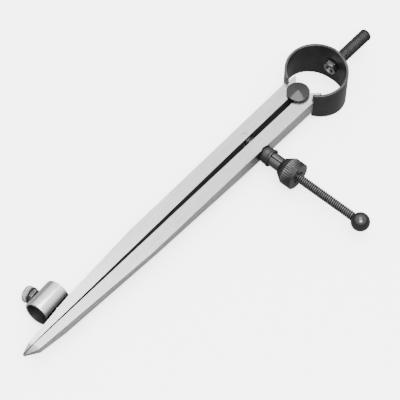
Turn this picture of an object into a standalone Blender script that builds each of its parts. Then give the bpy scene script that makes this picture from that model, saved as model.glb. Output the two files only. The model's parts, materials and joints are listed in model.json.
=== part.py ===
"""Spring-bow drawing compass with a screw adjustment and a pencil sleeve.

The compass lies flat. The legs point along -Y, the grip along +Y, and the
fulcrum axis is Z. The origin is the middle of the stud's flat rear end.
Lengths are in metres; MM turns millimetres into metres.
"""

import math

import bmesh
import bpy
from mathutils import Vector

MM = 0.001
GAP = 0.3 * MM                      # air between pieces that touch

# Driving dimensions of the legs, measured from the fulcrum axis
REACH = 200 * MM                    # fulcrum axis to the points
MID_Z = 6.1 * MM                    # middle plane of the legs, above the stud's rear end
LEG_WIDTH = 7.75 * MM
LEG_HALF_THICK = 4.25 * MM
POINT_HALF_THICK = 1.9 * MM         # in front, where the points are ground
REAR_HALF_THICK = 1.6 * MM          # behind, from the start of the narrowing on
TIP_HALF_THICK = 0.3 * MM
TAPER_START = 50 * MM               # the legs get thinner from here on
WIDTH_START = 118 * MM              # and narrower from here on
HALF_SPREAD_TOP = 1.73 * MM         # half the slit between the legs at the fulcrum
HALF_SPREAD_TIP = 0.18 * MM
TIP_WIDTH = 0.3 * MM
GROUND_WIDTHS = {                   # distance from the fulcrum, width left
    "left_leg": ((163 * MM, 5.35 * MM), (194 * MM, 1.9 * MM)),
    "right_leg": ((193 * MM, 3.7 * MM),),
}
FACET_PLACE = 178 * MM              # where the right leg's slanted outer facet is widest
FACET_WIDTH = 1.2 * MM
EAR_TOP = 8.3 * MM
EAR_HALF_SPAN = 8.8 * MM
MAX_SPREAD = math.radians(26)       # each leg, from closed to wide open

# Fulcrum stud
STUD_RADIUS = 3.0 * MM
HEAD_RADIUS = 6.1 * MM
HEAD_THICK = 1.4 * MM
HEAD_CONE = 1.2 * MM

# Bow spring
BOW_CENTRE_Y = 14.6 * MM
BOW_HALF_SPAN = 17.1 * MM           # outer size across the legs
BOW_HALF_REACH = 15.75 * MM         # outer size along the legs
BOW_THICK = 1.3 * MM
BOW_TOP_HALF_WIDTH = 12.3 * MM      # the strip is widest at the grip
BOW_END_HALF_WIDTH = 8.3 * MM
BOW_END_X = 8.3 * MM                # half the distance between the spring's ends
BOW_STEPS = 72
SLOT_WIDTH = 2.0 * MM

# Grip and its nut
GRIP_RADIUS = 3.4 * MM
GRIP_END = 57.5 * MM
GRIP_STUD_RADIUS = 2.0 * MM
GRIP_STUD_END = 26.6 * MM
GRIP_NUT_LENGTH = 2.6 * MM
GRIP_NUT_FLATS = 7.0 * MM

# Adjusting screw
SCREW_Y = -37.65 * MM
PIN_X = -3.7 * MM                   # pivot of the screw, in the left leg
PIN_RADIUS = 0.9 * MM
SCREW_RADIUS = 2.25 * MM
EYE_RADIUS = 2.7 * MM
BALL_X = 71.4 * MM
BALL_RADIUS = 4.85 * MM

# Dome washer and quick nut, as places along the screw
DOME_CENTRE_X = 11.6 * MM
DOME_RADIUS = 4.5 * MM
DOME_START_X = 8.7 * MM
WASHER_END_X = 14.7 * MM
WASHER_RADIUS = 4.85 * MM
JAW_RADIUS = 3.8 * MM
JAW_START_X = 14.2 * MM
JAW_END_X = 30.8 * MM
JAW_SLIT = 0.5 * MM
JAW_SLIT_TILT = math.radians(17)
NUT_RADIUS = 7.4 * MM
NUT_START_X = 21.4 * MM
NUT_BARREL_X = (25.5 * MM, 31.4 * MM)
NUT_END_X = 31.8 * MM
NUT_END_RADIUS = 7.1 * MM
NUT_MOUTH_RADIUS = 3.2 * MM

# Pencil sleeve on the left leg, and its clamp
SLEEVE_MOUTH = Vector((-11.2 * MM, -179.8 * MM, MID_Z - 1.0 * MM))
SLEEVE_LENGTH = 16.5 * MM
SLEEVE_RADIUS = 6.95 * MM
SLEEVE_WALL = 1.1 * MM
SLEEVE_YAW = math.radians(-6.2)
SLEEVE_DIP = math.radians(-5.0)
CLAMP_DIP = math.radians(-17)       # the thumb screw points below the level
CLAMP_NUT_FLATS = 7.2 * MM
CLAMP_NUT_HEIGHT = 2.0 * MM
THUMB_HEAD_RADIUS = 4.35 * MM
THUMB_HEAD_HEIGHT = 3.5 * MM
THUMB_RADIUS = 1.75 * MM
RIVET_RADIUS = 1.0 * MM

ROUND = 40                          # sides of a turned piece

FINISHES = {
    # colour, roughness, metallic
    "ground_steel": ((0.62, 0.62, 0.63, 1), 0.32, 1.0),
    "blackened_steel": ((0.035, 0.035, 0.037, 1), 0.42, 0.8),
    "black_thread": ((0.025, 0.025, 0.027, 1), 0.5, 0.8),
    "black_ball": ((0.02, 0.02, 0.022, 1), 0.2, 0.8),
    "nickel": ((0.7, 0.69, 0.67, 1), 0.2, 1.0),
    "zinc": ((0.6, 0.6, 0.61, 1), 0.35, 1.0),
}


def clear_scene():
    for obj in list(bpy.data.objects):
        bpy.data.objects.remove(obj, do_unlink=True)


def make_collection(name):
    group = bpy.data.collections.new(name)
    bpy.context.scene.collection.children.link(group)
    return group


def make_finish(node, finish):
    colour, roughness, metallic = FINISHES[finish]
    material = bpy.data.materials.new(f"{node}_{finish}")
    material.use_nodes = True
    shader = material.node_tree.nodes["Principled BSDF"]
    shader.inputs["Base Color"].default_value = colour
    shader.inputs["Roughness"].default_value = roughness
    shader.inputs["Metallic"].default_value = metallic
    return material


def piece(name, mesh, finish):
    """Links a mesh as one named sub-part of the compass."""
    obj = bpy.data.objects.new(name, mesh)
    PARTS.objects.link(obj)
    mesh.materials.clear()
    mesh.materials.append(make_finish(name, finish))
    return obj


def cutter(mesh):
    obj = bpy.data.objects.new("cutter", mesh)
    CUTTERS.objects.link(obj)
    obj.hide_render = True
    obj.display_type = "WIRE"
    return obj


def boolean(target, tool, operation="DIFFERENCE"):
    step = target.modifiers.new(operation.lower(), "BOOLEAN")
    step.operation = operation
    step.solver = "EXACT"
    step.object = tool


def aim(obj, place, direction):
    """Puts a piece made along +Z at a place, pointing in a direction."""
    obj.location = place
    obj.rotation_euler = direction.to_track_quat("Z", "Y").to_euler()


def rod_mesh(radius, start, end, sides=ROUND, name="rod"):
    """A closed cylinder along Z, from start to end."""
    mesh = bpy.data.meshes.new(name)
    bm = bmesh.new()
    bmesh.ops.create_cone(bm, cap_ends=True, segments=sides, radius1=radius,
                          radius2=radius, depth=end - start)
    bmesh.ops.translate(bm, verts=bm.verts, vec=(0, 0, (start + end) / 2))
    bm.to_mesh(mesh)
    bm.free()
    return mesh


def box_mesh(size):
    mesh = bpy.data.meshes.new("box")
    bm = bmesh.new()
    bmesh.ops.create_cube(bm, size=1)
    bmesh.ops.scale(bm, vec=size, verts=bm.verts)
    bm.to_mesh(mesh)
    bm.free()
    return mesh


def ball_mesh(radius, segments=32, rings=20):
    mesh = bpy.data.meshes.new("ball")
    bm = bmesh.new()
    bmesh.ops.create_uvsphere(bm, u_segments=segments, v_segments=rings, radius=radius)
    bm.to_mesh(mesh)
    bm.free()
    return mesh


def profile_mesh(points, closed):
    """A chain of edges in the XZ plane; x is the radius, z the height."""
    mesh = bpy.data.meshes.new("profile")
    count = len(points)
    edges = [(i, i + 1) for i in range(count - 1)]
    if closed:
        edges.append((count - 1, 0))
    mesh.from_pydata([(x, 0, z) for x, z in points], edges, [])
    return mesh


def turned(name, points, finish, closed=False):
    """Turns a profile that runs down its outer side into a round piece."""
    obj = piece(name, profile_mesh(points, closed), finish)
    turn = obj.modifiers.new("turn", "SCREW")
    turn.axis = "Z"
    turn.angle = math.tau
    turn.steps = ROUND
    turn.render_steps = ROUND
    turn.use_merge_vertices = True
    turn.merge_threshold = 0.01 * MM
    turn.use_smooth_shade = True
    return obj


def plate_mesh(points, half_thick):
    """A flat outline, extruded to both sides of its plane."""
    curve = bpy.data.curves.new("outline", "CURVE")
    curve.dimensions = "2D"
    curve.fill_mode = "BOTH"
    curve.extrude = half_thick
    spline = curve.splines.new("POLY")
    spline.points.add(len(points) - 1)
    for point, (x, y) in zip(spline.points, points):
        point.co = (x, y, 0, 1)
    spline.use_cyclic_u = True
    guide = bpy.data.objects.new("outline", curve)
    CUTTERS.objects.link(guide)
    view = bpy.context.evaluated_depsgraph_get()
    mesh = bpy.data.meshes.new_from_object(guide.evaluated_get(view))
    bpy.data.objects.remove(guide)
    bm = bmesh.new()
    bm.from_mesh(mesh)
    bmesh.ops.remove_doubles(bm, verts=bm.verts, dist=0.001 * MM)
    bmesh.ops.recalc_face_normals(bm, faces=bm.faces)
    bm.to_mesh(mesh)
    bm.free()
    return mesh


def between(value, start, end, low, high):
    """Straight-line value from low at start to high at end."""
    share = min(max((value - start) / (end - start), 0), 1)
    return low + (high - low) * share


def inner_edge(y):
    return between(-y, 0, REACH, HALF_SPREAD_TOP, HALF_SPREAD_TIP)


def front_height(y, ground):
    """The front face over the middle plane: a long taper, then the ground point."""
    if -y <= ground:
        return between(-y, TAPER_START, ground, LEG_HALF_THICK, POINT_HALF_THICK)
    return between(-y, ground, REACH, POINT_HALF_THICK, TIP_HALF_THICK)


def rear_depth(y, ground):
    """The rear face under the middle plane: a shorter taper, level, then the point."""
    if -y <= ground:
        return between(-y, TAPER_START, WIDTH_START, LEG_HALF_THICK, REAR_HALF_THICK)
    return between(-y, ground, REACH, REAR_HALF_THICK, TIP_HALF_THICK)


def facet_width(y):
    """How far the right leg's rear edge stands out past its front edge."""
    if -y <= FACET_PLACE:
        return between(-y, WIDTH_START, FACET_PLACE, 0, FACET_WIDTH)
    return between(-y, FACET_PLACE, REACH, FACET_WIDTH, 0)


def leg_outline(widths):
    """Outline of the right leg, from its tip up the outer edge and back."""
    points = [(HALF_SPREAD_TIP, -REACH), (HALF_SPREAD_TIP + TIP_WIDTH, -REACH)]
    for distance, width in reversed(widths):
        points.append((inner_edge(-distance) + width, -distance))
    points.append((inner_edge(-WIDTH_START) + LEG_WIDTH, -WIDTH_START))
    shoulder = HALF_SPREAD_TOP + LEG_WIDTH
    points.append((shoulder, 0.9 * MM))
    points.append((EAR_HALF_SPAN, 2.2 * MM))
    points.append((EAR_HALF_SPAN, EAR_TOP))
    points.append((EAR_HALF_SPAN - 1.0 * MM, EAR_TOP - 0.7 * MM))
    points.append((2.4 * MM, 1.9 * MM))
    points.append((HALF_SPREAD_TOP, 0))
    return points


def make_leg(name, side):
    widths = GROUND_WIDTHS[name]
    outline = [(side * x, y) for x, y in leg_outline(widths)]
    mesh = plate_mesh(outline, LEG_HALF_THICK)
    ground = widths[-1][0]
    bm = bmesh.new()
    bm.from_mesh(mesh)
    for distance in (TAPER_START, WIDTH_START, FACET_PLACE, ground):
        everything = bm.verts[:] + bm.edges[:] + bm.faces[:]
        bmesh.ops.bisect_plane(bm, geom=everything, plane_co=(0, -distance, 0),
                               plane_no=(0, 1, 0))
    for vert in bm.verts:
        front = vert.co.z > 0
        depth = front_height if front else rear_depth
        vert.co.z *= depth(vert.co.y, ground) / LEG_HALF_THICK
        outer = vert.co.x > inner_edge(vert.co.y) + TIP_WIDTH / 2
        if name == "right_leg" and outer and not front:
            vert.co.x += facet_width(vert.co.y)
    bm.to_mesh(mesh)
    bm.free()
    leg = piece(name, mesh, "ground_steel")
    leg.location.z = MID_Z
    cut_stud_seat(leg)
    cut_bow_slot(leg, side)
    return leg


def cut_stud_seat(leg):
    """The half-round seat that turns on the fulcrum stud."""
    seat = cutter(rod_mesh(STUD_RADIUS + GAP, -8 * MM, 8 * MM))
    seat.location.z = MID_Z
    boolean(leg, seat)


def bow_point(angle, inset):
    """A point on the bow's oval, inset from its outer face; angle 0 is opposite the grip."""
    return Vector(((BOW_HALF_SPAN - inset) * math.sin(angle),
                   BOW_CENTRE_Y - (BOW_HALF_REACH - inset) * math.cos(angle), 0))


def bow_end_angle():
    return math.asin(BOW_END_X / (BOW_HALF_SPAN - BOW_THICK / 2))


def cut_bow_slot(leg, side):
    """The slot across the ear's outer edge that takes an end of the bow."""
    angle = side * bow_end_angle()
    end = bow_point(angle, BOW_THICK / 2)
    inward = (end - bow_point(angle * 1.01, BOW_THICK / 2)).normalized()
    length = 6 * MM
    slot = cutter(box_mesh((length, SLOT_WIDTH, 12 * MM)))
    slot.location = end + inward * (GAP - length / 2) + Vector((0, 0, MID_Z))
    slot.rotation_euler.z = math.atan2(inward.y, inward.x)
    boolean(leg, slot)


def cut_screw_pivot(leg):
    """The left leg's slot for the screw's eye, and the hole for its pin."""
    back = -3.2 * MM
    low = -3.1 * MM
    high = 4.3 * MM
    front = 6 * MM
    slot = cutter(box_mesh((front - back, high - low, 2 * (SCREW_RADIUS + GAP))))
    slot.location = (PIN_X + (front + back) / 2, SCREW_Y + (high + low) / 2, MID_Z)
    boolean(leg, slot)
    hole = cutter(rod_mesh(PIN_RADIUS + GAP / 2, -8 * MM, 8 * MM, 24))
    hole.location = (PIN_X, SCREW_Y, MID_Z)
    boolean(leg, hole)


def screw_pose(spread):
    """Where the screw crosses the right leg, and how it lies, as seen from that leg."""
    seat = Vector((DOME_CENTRE_X, SCREW_Y, 0))
    pin = Vector((PIN_X, SCREW_Y, 0))
    pin_turn = -2 * spread
    turned_pin = Vector((pin.x * math.cos(pin_turn) - pin.y * math.sin(pin_turn),
                         pin.x * math.sin(pin_turn) + pin.y * math.cos(pin_turn), 0))
    return seat, (seat - turned_pin).normalized()


def cut_screw_passage(leg):
    """The right leg's flared hole and round seat, clear of the screw at each spread."""
    steps = 3
    for index in range(steps):
        seat, direction = screw_pose(MAX_SPREAD * index / (steps - 1))
        hole = cutter(rod_mesh(SCREW_RADIUS + 2.5 * GAP, -20 * MM, 6 * MM, 32))
        aim(hole, seat + Vector((0, 0, MID_Z)), direction)
        boolean(leg, hole)
    dome = cutter(ball_mesh(DOME_RADIUS + 2.5 * GAP, 40, 24))
    dome.location = (DOME_CENTRE_X, SCREW_Y, MID_Z)
    boolean(leg, dome)


def make_stud():
    under = LEG_HALF_THICK + GAP
    top = under + HEAD_THICK
    points = [(0, top + HEAD_CONE), (HEAD_RADIUS, top), (HEAD_RADIUS, under),
              (STUD_RADIUS, under), (STUD_RADIUS, -MID_Z), (0, -MID_Z)]
    stud = turned("pivot_stud", points, "blackened_steel")
    stud.location.z = MID_Z


def make_collar():
    """The rear head, a ring held on the stud's end."""
    inner = STUD_RADIUS + GAP / 2
    top = -(LEG_HALF_THICK + GAP)
    chamfer = 0.4 * MM
    points = [(HEAD_RADIUS, top), (HEAD_RADIUS, -MID_Z + chamfer),
              (HEAD_RADIUS - chamfer, -MID_Z), (inner, -MID_Z), (inner, top)]
    collar = turned("pivot_collar", points, "blackened_steel", closed=True)
    collar.location.z = MID_Z


def make_bow():
    """A strip bent to an oval, open where the legs' ears stand, and tapered to its ends."""
    start = bow_end_angle()
    outline = []
    for inset, order in ((0, 1), (BOW_THICK, -1)):
        for index in range(BOW_STEPS + 1)[::order]:
            angle = start + (math.tau - 2 * start) * index / BOW_STEPS
            outline.append(bow_point(angle, inset).to_2d())
    mesh = plate_mesh(outline, 1)
    for vert in mesh.vertices:
        turn = abs(math.atan2(vert.co.x / BOW_HALF_SPAN, (vert.co.y - BOW_CENTRE_Y) / BOW_HALF_REACH))
        vert.co.z *= between(turn, 0, math.pi - start, BOW_TOP_HALF_WIDTH, BOW_END_HALF_WIDTH)
    bow = piece("bow_spring", mesh, "blackened_steel")
    bow.location.z = MID_Z
    hole = cutter(rod_mesh(GRIP_STUD_RADIUS + GAP, 0, 30 * MM, 32))
    aim(hole, Vector((0, BOW_CENTRE_Y, MID_Z)), Vector((0, 1, 0)))
    boolean(bow, hole)


def make_grip():
    """The round grip, with the threaded end that passes through the bow."""
    base = BOW_CENTRE_Y + BOW_HALF_REACH + GAP / 2
    crown = 1.9 * MM
    points = [(0, GRIP_END), (1.5 * MM, GRIP_END - 0.25 * MM),
              (2.6 * MM, GRIP_END - 0.85 * MM), (GRIP_RADIUS, GRIP_END - crown),
              (GRIP_RADIUS, base + 0.4 * MM), (GRIP_RADIUS - 0.4 * MM, base),
              (GRIP_STUD_RADIUS, base), (GRIP_STUD_RADIUS, GRIP_STUD_END),
              (0, GRIP_STUD_END)]
    grip = turned("grip", points, "black_thread")
    aim(grip, Vector((0, 0, MID_Z)), Vector((0, 1, 0)))


def make_hex_nut(name, place, direction, flats, height, hole_radius, finish):
    corner = flats / math.sqrt(3)
    nut = piece(name, rod_mesh(corner, 0, height, 6, name), finish)
    aim(nut, place, direction)
    hole = cutter(rod_mesh(hole_radius, -height, 2 * height, 32))
    aim(hole, place, direction)
    boolean(nut, hole)
    return nut


def make_grip_nut():
    corner_angle = math.asin(GRIP_NUT_FLATS / math.sqrt(3) / (BOW_HALF_SPAN - BOW_THICK))
    seat = bow_point(math.pi - corner_angle, BOW_THICK).y - GAP
    place = Vector((0, seat - GRIP_NUT_LENGTH, MID_Z))
    make_hex_nut("grip_nut", place, Vector((0, 1, 0)), GRIP_NUT_FLATS,
                 GRIP_NUT_LENGTH, GRIP_STUD_RADIUS + GAP / 2, "zinc")


def make_screw():
    """The threaded rod, with its round eye on the pin in the left leg."""
    length = BALL_X - 0.8 * MM - PIN_X
    screw = piece("adjusting_screw", rod_mesh(SCREW_RADIUS, 0, length, ROUND), "black_thread")
    pin = Vector((PIN_X, SCREW_Y, MID_Z))
    aim(screw, pin, Vector((1, 0, 0)))
    eye = cutter(rod_mesh(EYE_RADIUS, -SCREW_RADIUS, SCREW_RADIUS, 32))
    eye.location = pin
    boolean(screw, eye, "UNION")
    hole = cutter(rod_mesh(PIN_RADIUS + GAP / 2, -8 * MM, 8 * MM, 24))
    hole.location = pin
    boolean(screw, hole)


def make_screw_pin():
    reach = LEG_HALF_THICK - 0.1 * MM
    pin = piece("screw_pin", rod_mesh(PIN_RADIUS, -reach, reach, 24), "ground_steel")
    pin.location = (PIN_X, SCREW_Y, MID_Z)


def make_ball():
    centre = Vector((BALL_X, SCREW_Y, MID_Z))
    ball = piece("screw_ball", ball_mesh(BALL_RADIUS), "black_ball")
    ball.location = centre
    socket = cutter(rod_mesh(SCREW_RADIUS + GAP / 2, -10 * MM, -0.4 * MM, 32))
    aim(socket, centre, Vector((1, 0, 0)))
    boolean(ball, socket)


def along_screw(obj):
    """Lays a piece, turned about Z, along the screw from x = 0."""
    aim(obj, Vector((0, SCREW_Y, MID_Z)), Vector((1, 0, 0)))


def make_washer():
    """The dome washer: its round nose sits in the right leg's seat."""
    steps = 8
    bore = SCREW_RADIUS + GAP
    recess = JAW_RADIUS + 0.35 * MM
    points = [(WASHER_RADIUS, WASHER_END_X), (WASHER_RADIUS, WASHER_END_X - 1.0 * MM)]
    start = math.acos((DOME_START_X - DOME_CENTRE_X) / DOME_RADIUS)
    for index in range(steps + 1):
        angle = between(index, 0, steps, math.pi / 2, start)
        points.append((DOME_RADIUS * math.sin(angle),
                       DOME_CENTRE_X + DOME_RADIUS * math.cos(angle)))
    points.append((bore, DOME_START_X))
    points.append((bore, JAW_START_X - GAP))
    points.append((recess, JAW_START_X - GAP))
    points.append((recess, WASHER_END_X))
    along_screw(turned("dome_washer", points, "blackened_steel", closed=True))


def make_jaws():
    """The split nut: two half sleeves that hold the thread between them."""
    bore = SCREW_RADIUS + GAP
    points = [(JAW_RADIUS, JAW_END_X), (JAW_RADIUS, JAW_START_X),
              (bore, JAW_START_X), (bore, JAW_END_X)]
    size = 20 * MM
    for name, side in (("nut_jaw_a", 1), ("nut_jaw_b", -1)):
        jaw = turned(name, points, "blackened_steel", closed=True)
        along_screw(jaw)
        away = Vector((0, math.cos(JAW_SLIT_TILT), math.sin(JAW_SLIT_TILT))) * -side
        block = cutter(box_mesh((2 * size, 2 * size, 2 * size)))
        aim(block, Vector((JAW_START_X, SCREW_Y, MID_Z)) + away * (size - JAW_SLIT / 2), away)
        boolean(jaw, block)


def make_nut():
    """The knurled nut that closes the two jaws on the screw."""
    bore = JAW_RADIUS + GAP
    lip = JAW_END_X + GAP
    points = [(NUT_END_RADIUS, NUT_END_X), (NUT_RADIUS, NUT_BARREL_X[1]),
              (NUT_RADIUS, NUT_BARREL_X[0]), (bore + 0.5 * MM, NUT_START_X),
              (bore, NUT_START_X), (bore, lip), (NUT_MOUTH_RADIUS, lip),
              (NUT_MOUTH_RADIUS, NUT_END_X)]
    along_screw(turned("knurled_nut", points, "blackened_steel", closed=True))


def sleeve_axis():
    return Vector((math.sin(SLEEVE_YAW) * math.cos(SLEEVE_DIP),
                   math.cos(SLEEVE_YAW) * math.cos(SLEEVE_DIP),
                   math.sin(SLEEVE_DIP)))


def sleeve_middle():
    return SLEEVE_MOUTH + sleeve_axis() * SLEEVE_LENGTH / 2


def clamp_direction():
    """Square to the sleeve, outward from the leg and below the level."""
    out = Vector((-math.cos(CLAMP_DIP), 0, math.sin(CLAMP_DIP)))
    axis = sleeve_axis()
    return (out - axis * out.dot(axis)).normalized()


def make_sleeve():
    bore = SLEEVE_RADIUS - SLEEVE_WALL
    points = [(SLEEVE_RADIUS, SLEEVE_LENGTH), (SLEEVE_RADIUS, 0), (bore, 0),
              (bore, SLEEVE_LENGTH)]
    sleeve = turned("pencil_sleeve", points, "nickel", closed=True)
    aim(sleeve, SLEEVE_MOUTH, sleeve_axis())
    thread = cutter(rod_mesh(THUMB_RADIUS + GAP / 2, 2 * MM, 12 * MM, 24))
    aim(thread, sleeve_middle(), clamp_direction())
    boolean(sleeve, thread)
    hole = cutter(rod_mesh(RIVET_RADIUS + GAP / 2, 2 * MM, 12 * MM, 24))
    aim(hole, rivet_root(), Vector((1, 0, 0)))
    boolean(sleeve, hole)


def rivet_root():
    """A point on the rivet's axis, level with the leg's middle plane."""
    middle = sleeve_middle()
    return Vector((middle.x, middle.y, MID_Z))


def make_rivet(leg):
    """The rivet that holds the sleeve to the leg's outer side."""
    root = rivet_root()
    wall = SLEEVE_RADIUS - SLEEVE_WALL
    dome_base = wall - 1.0 * MM
    tip = SLEEVE_RADIUS + 3.2 * MM
    points = [(0, tip), (RIVET_RADIUS, tip), (RIVET_RADIUS, dome_base),
              (1.45 * MM, dome_base), (1.0 * MM, dome_base - 0.6 * MM),
              (0, dome_base - 0.8 * MM)]
    rivet = turned("sleeve_rivet", points, "nickel")
    aim(rivet, root, Vector((1, 0, 0)))
    hole = cutter(rod_mesh(RIVET_RADIUS + GAP / 2, 0, tip + GAP, 24))
    aim(hole, root, Vector((1, 0, 0)))
    boolean(leg, hole)


def make_clamp():
    """The nut on the sleeve and the thumb screw that grips the pencil."""
    direction = clamp_direction()
    seat = sleeve_middle() + direction * (SLEEVE_RADIUS + GAP)
    make_hex_nut("clamp_nut", seat, direction, CLAMP_NUT_FLATS, CLAMP_NUT_HEIGHT,
                 THUMB_RADIUS + GAP / 2, "zinc")
    under = SLEEVE_RADIUS + GAP + CLAMP_NUT_HEIGHT + 0.5 * MM
    top = under + THUMB_HEAD_HEIGHT
    edge = 0.4 * MM
    tip = SLEEVE_RADIUS - SLEEVE_WALL + 0.1 * MM
    points = [(0, top), (THUMB_HEAD_RADIUS - edge, top), (THUMB_HEAD_RADIUS, top - edge),
              (THUMB_HEAD_RADIUS, under + edge), (THUMB_HEAD_RADIUS - edge, under),
              (THUMB_RADIUS, under), (THUMB_RADIUS, tip), (0, tip)]
    aim(turned("thumb_screw", points, "zinc"), sleeve_middle(), direction)


clear_scene()
PARTS = make_collection("drawing_compass")
CUTTERS = make_collection("cutters")

left_leg = make_leg("left_leg", -1)
cut_screw_pivot(left_leg)
right_leg = make_leg("right_leg", 1)
cut_screw_passage(right_leg)
make_stud()
make_collar()
make_bow()
make_grip()
make_grip_nut()
make_screw()
make_screw_pin()
make_ball()
make_washer()
make_jaws()
make_nut()
make_sleeve()
make_rivet(left_leg)
make_clamp()
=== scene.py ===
"""A spring-bow drawing compass, lying flat: two ground steel legs on a black fulcrum stud,
a black bow spring with a knurled grip, a screw with a quick nut, and a pencil sleeve.
Lengths are in metres; MM turns millimetres into metres.
"""

import json
import math

import bmesh
import bpy
import numpy as np
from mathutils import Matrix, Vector


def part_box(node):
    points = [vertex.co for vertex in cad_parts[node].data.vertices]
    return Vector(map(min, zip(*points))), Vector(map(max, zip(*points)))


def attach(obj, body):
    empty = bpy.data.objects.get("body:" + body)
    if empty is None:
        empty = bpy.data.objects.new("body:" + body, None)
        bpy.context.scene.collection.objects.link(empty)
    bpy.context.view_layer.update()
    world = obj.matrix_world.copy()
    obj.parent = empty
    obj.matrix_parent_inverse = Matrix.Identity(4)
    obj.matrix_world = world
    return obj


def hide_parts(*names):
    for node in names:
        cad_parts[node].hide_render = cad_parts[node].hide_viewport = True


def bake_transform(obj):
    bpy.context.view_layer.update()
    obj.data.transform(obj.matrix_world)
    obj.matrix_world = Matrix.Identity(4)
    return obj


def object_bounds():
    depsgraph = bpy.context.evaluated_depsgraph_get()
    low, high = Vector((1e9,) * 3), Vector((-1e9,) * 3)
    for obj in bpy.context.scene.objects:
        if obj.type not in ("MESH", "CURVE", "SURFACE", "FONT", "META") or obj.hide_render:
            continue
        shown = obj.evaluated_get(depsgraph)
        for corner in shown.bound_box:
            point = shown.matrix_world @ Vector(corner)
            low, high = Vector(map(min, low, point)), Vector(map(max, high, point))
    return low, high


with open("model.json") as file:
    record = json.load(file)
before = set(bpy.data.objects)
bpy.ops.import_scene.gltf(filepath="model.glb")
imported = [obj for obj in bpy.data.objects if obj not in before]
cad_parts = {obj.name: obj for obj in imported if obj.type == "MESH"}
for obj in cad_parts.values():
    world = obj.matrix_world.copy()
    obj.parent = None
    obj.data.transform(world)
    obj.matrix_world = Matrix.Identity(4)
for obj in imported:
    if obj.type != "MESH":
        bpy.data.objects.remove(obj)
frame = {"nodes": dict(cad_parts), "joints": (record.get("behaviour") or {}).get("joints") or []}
cad_low, cad_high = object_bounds()

MM = 0.001
joints = {joint["name"]: joint for joint in frame["joints"]}
fulcrum = Vector(joints["leg_spread"]["pos_m"])
mid_z = fulcrum.z                       # the plane through the middle of both legs


# ---------------------------------------------------------------------------
# The view and the studio. A long lens looks down at the compass from the front
# right; white paper below, one soft light overhead and one above the front.
# ---------------------------------------------------------------------------
VIEW_TURN = math.radians(41.63)
VIEW_HEIGHT = math.radians(56.79)
VIEW_DISTANCE = 0.8
VIEW_AIM = Vector((4.0 * MM, -80.4 * MM, mid_z))
LENS = 145.3
SENSOR_WIDTH = 36                       # millimetres, like the lens
NEAREST = 0.01


def towards(turn, height):
    """The unit vector that points away from the compass. Turn 0 is the side that the
    points are on; height is above the floor."""
    return Vector((math.sin(turn) * math.cos(height), -math.cos(turn) * math.cos(height),
                   math.sin(height)))


back = towards(VIEW_TURN, VIEW_HEIGHT)
camera = bpy.data.objects.new("camera", bpy.data.cameras.new("camera"))
camera.data.lens = LENS
camera.data.sensor_width = SENSOR_WIDTH
camera.data.clip_start = NEAREST
camera.location = VIEW_AIM + back * VIEW_DISTANCE
camera.rotation_euler = (-back).to_track_quat("-Z", "Y").to_euler()
bpy.context.scene.collection.objects.link(camera)
bpy.context.scene.camera = camera


def paint(name, colour, roughness, metallic=0.0):
    """A material with one Principled shader; returns the material, its tree and the shader."""
    material = bpy.data.materials.new(name)
    material.use_nodes = True
    tree = material.node_tree
    shader = tree.nodes["Principled BSDF"]
    shader.inputs["Base Color"].default_value = (*colour, 1)
    shader.inputs["Roughness"].default_value = roughness
    shader.inputs["Metallic"].default_value = metallic
    return material, tree, shader


PAPER_WHITE = 0.9
PAPER_BOUNCE = 0.16                     # how light the paper is to anything but the camera
PAPER_GLOW = 2.4
FLOOR_HALF = 3.0


def make_paper():
    """Matt white paper, lit from below like a light table; it throws little back on the compass."""
    material, tree, shader = paint("floor_paper", (PAPER_WHITE,) * 3, 0.9)
    ray = tree.nodes.new("ShaderNodeLightPath")
    tone = tree.nodes.new("ShaderNodeMapRange")
    tone.inputs["To Min"].default_value = PAPER_BOUNCE
    tone.inputs["To Max"].default_value = PAPER_WHITE
    tree.links.new(ray.outputs["Is Camera Ray"], tone.inputs["Value"])
    tree.links.new(tone.outputs["Result"], shader.inputs["Base Color"])
    glow = tree.nodes.new("ShaderNodeMath")
    glow.operation = "MULTIPLY"
    glow.inputs[1].default_value = PAPER_GLOW
    tree.links.new(ray.outputs["Is Camera Ray"], glow.inputs[0])
    tree.links.new(glow.outputs[0], shader.inputs["Emission Strength"])
    shader.inputs["Emission Color"].default_value = (1, 1, 1, 1)
    shader.inputs["Specular IOR Level"].default_value = 0.0
    return material


floor_mesh = bpy.data.meshes.new("floor")
floor_mesh.from_pydata([(x * FLOOR_HALF, y * FLOOR_HALF, cad_low.z)
                        for x, y in ((-1, -1), (1, -1), (1, 1), (-1, 1))],
                       [], [(0, 1, 2, 3)])
floor_mesh.materials.append(make_paper())
floor = bpy.data.objects.new("floor", floor_mesh)
bpy.context.scene.collection.objects.link(floor)


def soft_light(name, turn, height, distance, size, power):
    """A square area light that faces the middle of the compass; its angles are in degrees."""
    lamp = bpy.data.lights.new(name, "AREA")
    lamp.shape = "SQUARE"
    lamp.size = size
    lamp.energy = power
    holder = bpy.data.objects.new(name, lamp)
    away = towards(math.radians(turn), math.radians(height))
    holder.location = VIEW_AIM + away * distance
    holder.rotation_euler = away.to_track_quat("Z", "Y").to_euler()
    holder.visible_camera = False
    bpy.context.scene.collection.objects.link(holder)


soft_light("top_light", 213, 80, 1.2, 0.68, 9)
soft_light("front_light", 50, 64, 1.4, 0.7, 34)

SKY_LOW, SKY_HIGH = 0.1, 0.7            # heights, as the upward part of a unit vector
SKY_DIM, SKY_BRIGHT = 0.35, 2.3


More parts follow.
